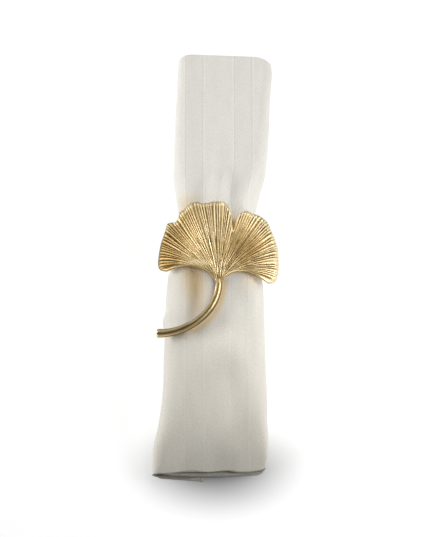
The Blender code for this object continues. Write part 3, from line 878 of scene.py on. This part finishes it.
def make_leaf(material):
    table = leaf_veins()
    rim, root = table[:, 0:2], table[:, 2:4]
    bend, veins, is_right = table[:, 4], table[:, 5], table[:, 6]
    reach = np.linspace(0.0, 1.0, LEAF_ROWS)
    x, y = leaf_places(rim, root, bend, is_right, reach)
    rise, ridge, strong, burnished_and_painted_dark = leaf_relief(veins[:, None], reach[None, :], x, y,
                                                 is_right[:, None])

    share = np.linspace(0.0, 1.0, len(table))[:, None]
    to_margin = np.minimum(veins, veins[-1] - veins)[:, None] * VEIN_SPACING
    to_margin = to_margin * np.maximum(reach, 0.10)
    bead = bell(to_margin / BEAD_WIDTH) * smoothstep(0.0, 0.10, reach)[None, :]
    plain = bell(to_margin / (PLAIN_WIDTH * BEAD_WIDTH))
    valley = smoothstep(*ROOT_VALLEY_REACH, reach)[None, :] * bell((share - 0.5) / ROOT_VALLEY_WIDTH)
    edge = smoothstep(*RIM_ROUNDING, reach)[None, :]
    painted_rim_highlight = smoothstep(*PAINTED_RIM_HIGHLIGHT, reach)[None, :]
    height = dome_height(x, y) - ROOT_SINK * smoothstep(*ROOT_SINK_REACH, reach)[None, :]
    top = height + rise * (1.0 - plain) + BEAD_HEIGHT * bead - ROOT_VALLEY * valley - 0.25 * edge
    under = height - BLADE_THICKNESS + 0.35 * edge - ROOT_VALLEY * valley
    relief = mix(0.62, ridge, np.clip(strong, 0.0, 1.0) * (1.0 - plain))
    # The rim is painted bright with no groove colour: a painted highlight.
    relief = mix(relief * (1.0 - 0.75 * valley), 0.9, painted_rim_highlight)
    wear_and_painted_light = leaf_painted_light(x, y, burnished_and_painted_dark, np.maximum(bead, painted_rim_highlight))

    upper = np.stack([x, y, top], axis=-1)
    lower = np.stack([x, y, under], axis=-1)[::UNDERSIDE_STEP, ::UNDERSIDE_STEP]
    points = np.vstack([upper.reshape(-1, 3), lower.reshape(-1, 3)])
    lower_count = len(points) - x.size
    facts = {"relief": np.concatenate([relief.ravel(), np.full(lower_count, 0.6)]),
             "wear_and_painted_light": np.concatenate([wear_and_painted_light.ravel(), np.full(lower_count, 0.5)]),
             "leaf_mm": points * [1.0, 1.0, 0.0]}
    return new_piece("leaf_blade", points, leaf_faces(upper.shape[:2], lower.shape[:2]),
                     material, facts)


def stem_line(share):
    """The stem's radius and the middle of each of its sections."""
    spine = cubic(STEM_CURVE, share)
    at_root = smoothstep(*STEM_ROOT_SHARE, share)
    radius = mix(STEM_RADIUS_TOP, STEM_RADIUS_TIP, share)
    radius = radius - STEM_WAIST * bell((share - STEM_WAIST_AT) / STEM_WAIST_LENGTH)
    radius = radius + STEM_TIP_FLARE * smoothstep(*STEM_TIP_SHARE, share)
    radius = radius - STEM_ROOT_TAPER * at_root
    proud = mix(STEM_PROUD, STEM_PROUD_AT_ROOT, at_root)
    height = LEAF_TOP - spine[:, 0] ** 2 / (2.0 * STEM_BEND_RADIUS) - spine[:, 1] ** 2 / NEAR_BOW
    height = height + STEM_LIFT * smoothstep(*STEM_LIFT_SHARE, share)
    return radius, np.column_stack([spine, height + proud - radius])


def make_stem(material):
    """The grooved stem: its two ridges carry on from the leaf's margins."""
    share = np.linspace(0.0, 1.0, STEM_STEPS)
    radius, centre = stem_line(share)
    ahead = np.gradient(centre, axis=0)
    ahead /= np.linalg.norm(ahead, axis=1, keepdims=True)
    side = np.cross(ahead, [0.0, 0.0, 1.0])
    side /= np.linalg.norm(side, axis=1, keepdims=True)
    up = np.cross(side, ahead)

    angle = 2.0 * math.pi * np.arange(STEM_SIDES) / STEM_SIDES
    groove_at = np.radians(mix(*STEM_GROOVE_AT, smoothstep(*STEM_GROOVE_TURNS, share)))[:, None]
    away = angle[None, :] - groove_at

    def around(feature):
        at, width = np.radians(feature)
        return bell((away - at) / width)

    groove = around(STEM_GROOVE) * smoothstep(0.03, 0.09, share)[:, None]
    ridges = around(STEM_RIDGES[0]) + around(STEM_RIDGES[1])
    second = around(STEM_SECOND_GROOVE) * smoothstep(0.3, 0.6, share)[:, None]
    # Painted shade: the stem's shaded side is painted darker in its relief and wear.
    shaded = smoothstep(*np.radians(STEM_SHADED), away)
    out = radius[:, None] * (1.0 - 0.20 * groove + 0.07 * ridges - 0.04 * second)
    points = (centre[:, None, :] + (out * np.cos(angle))[..., None] * side[:, None, :]
              + (out * np.sin(angle))[..., None] * up[:, None, :])
    relief = 0.50 - 0.52 * groove + 0.40 * ridges - 0.25 * second - 0.26 * shaded
    wear_and_painted_light = np.clip(0.60 + 0.45 * ridges - 0.30 * shaded, 0.0, 1.0)

    root = points[0].mean(axis=0)
    tip = points[-1].mean(axis=0) + ahead[-1] * STEM_TIP_CROWN
    all_points = np.vstack([points.reshape(-1, 3), root, tip])
    count = STEM_STEPS * STEM_SIDES
    last = count - STEM_SIDES
    faces = grid_faces(STEM_STEPS, STEM_SIDES, wrap_columns=True).tolist()
    for corner in range(STEM_SIDES):
        following = (corner + 1) % STEM_SIDES
        faces.append([following, corner, count])
        faces.append([last + corner, last + following, count + 1])
    facts = {"relief": np.concatenate([relief.ravel(), [0.6, 0.6]]),
             "wear_and_painted_light": np.concatenate([wear_and_painted_light.ravel(), [0.5, 0.5]]),
             "leaf_mm": all_points * [1.0, 1.0, 0.0]}
    return new_piece("leaf_stem", all_points, [face[::-1] for face in faces], material, facts)


# ---- the band ------------------------------------------------------------------------------------
def make_band(material):
    """The band with softly rounded edges."""
    turn = np.radians(np.linspace(0.0, 90.0, BAND_CORNER_STEPS))
    quarter = np.column_stack([np.cos(turn), np.sin(turn)]) * BAND_CORNER
    profile = []
    for y_way, depth_way in ((1, 1), (-1, 1), (-1, -1), (1, -1)):
        y = y_way * (BAND_HALF_WIDTH - BAND_CORNER)
        depth = -BAND_CORNER if depth_way > 0 else BAND_CORNER - BAND_THICKNESS
        bit = [(y + y_way * a, depth + depth_way * b) for a, b in quarter]
        profile += bit if y_way * depth_way > 0 else bit[::-1]
    profile = np.array(profile)
    around = 2.0 * math.pi * np.arange(BAND_SEGMENTS) / BAND_SEGMENTS
    radius = BAND_RADIUS + profile[:, 1]
    points = np.stack([radius[None, :] * np.sin(around)[:, None],
                       np.broadcast_to(profile[:, 0], (BAND_SEGMENTS, len(profile))),
                       BAND_RADIUS - radius[None, :] * np.cos(around)[:, None]], axis=-1)
    faces = grid_faces(BAND_SEGMENTS, len(profile), wrap_rows=True, wrap_columns=True)
    place = np.stack(np.broadcast_arrays(around[:, None] * BRUSHED_ROUND,
                                         profile[None, :, 0] * BRUSHED_ACROSS,
                                         profile[None, :, 1]), axis=-1)
    return new_piece("ring_band", points.reshape(-1, 3), faces[:, ::-1].tolist(), material,
                     {"band_mm": place.reshape(-1, 3)})


# ---- camera, light and floor -----------------------------------------------------------------------
def add_camera():
    data = bpy.data.cameras.new("camera")
    data.lens = VIEW_LENS
    data.sensor_fit = "VERTICAL"
    data.sensor_height = VIEW_SENSOR
    data.clip_end = VIEW_CLIP_END
    camera = bpy.data.objects.new("camera", data)
    bpy.context.scene.collection.objects.link(camera)
    back = np.array([0.0, -math.cos(VIEW_ELEVATION), math.sin(VIEW_ELEVATION)]) * VIEW_DISTANCE
    camera.location = VIEW_TARGET + back
    camera.rotation_euler = (math.pi / 2 - VIEW_ELEVATION, 0.0, 0.0)
    bpy.context.scene.camera = camera


def add_softbox(name, place, size, power, aim):
    data = bpy.data.lights.new(name, "AREA")
    data.shape = "RECTANGLE"
    data.size, data.size_y = size
    data.energy = power
    lamp = bpy.data.objects.new(name, data)
    bpy.context.scene.collection.objects.link(lamp)
    lamp.location = Vector(place)
    lamp.rotation_euler = (Vector(aim) - Vector(place)).to_track_quat("-Z", "Y").to_euler()


def add_room():
    world = bpy.data.worlds.new("studio")
    world.use_nodes = True
    background = world.node_tree.nodes["Background"]
    background.inputs["Color"].default_value = ROOM_COLOUR
    background.inputs["Strength"].default_value = ROOM_STRENGTH
    bpy.context.scene.world = world
    bpy.context.scene.view_settings.view_transform = "Standard"
    for softbox in SOFTBOXES:
        add_softbox(*softbox)


def floor_material():
    """Grey floor painted to glow white, except in an oval round the roll's near end."""
    made = Nodes("grey_floor_with_painted_glow")
    place = made.add("ShaderNodeNewGeometry", "Position")
    shape = tuple(1.0 / (radius * MM) for radius in SHADE_RADII)
    scaled = made.vector("MULTIPLY", made.vector("SUBTRACT", place, tuple(SHADE_MIDDLE)), shape)
    away = made.add("ShaderNodeVectorMath", "Value", {0: scaled}, operation="LENGTH")
    made.surface({"Base Color": FLOOR_GREY, "Roughness": 0.9,
                  "Emission Color": (1.0, 1.0, 1.0, 1.0),
                  "Emission Strength": made.ramp(away, 0.0, SHADE_FADE, 0.0, FLOOR_GLOW)})
    return made.material


def add_floor():
    mesh = bpy.data.meshes.new("floor")
    corners = [(x * FLOOR_REACH, y * FLOOR_REACH, 0) for x, y in ((-1, -1), (1, -1), (1, 1), (-1, 1))]
    mesh.from_pydata(corners, [], [(0, 1, 2, 3)])
    mesh.materials.append(floor_material())
    floor = bpy.data.objects.new("floor", mesh)
    bpy.context.scene.collection.objects.link(floor)


# ---- put together -------------------------------------------------------------------------------------
cloth = cloth_material()
gold = leaf_material()

napkin = make_napkin(cloth)
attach(napkin, "root")
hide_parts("napkin")

leaf = make_leaf(gold)
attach(leaf, "root")
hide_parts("leaf")

stem = make_stem(gold)
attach(stem, "root")

band = make_band(band_material())
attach(band, "root")
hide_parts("band")

add_camera()
add_room()
add_floor()
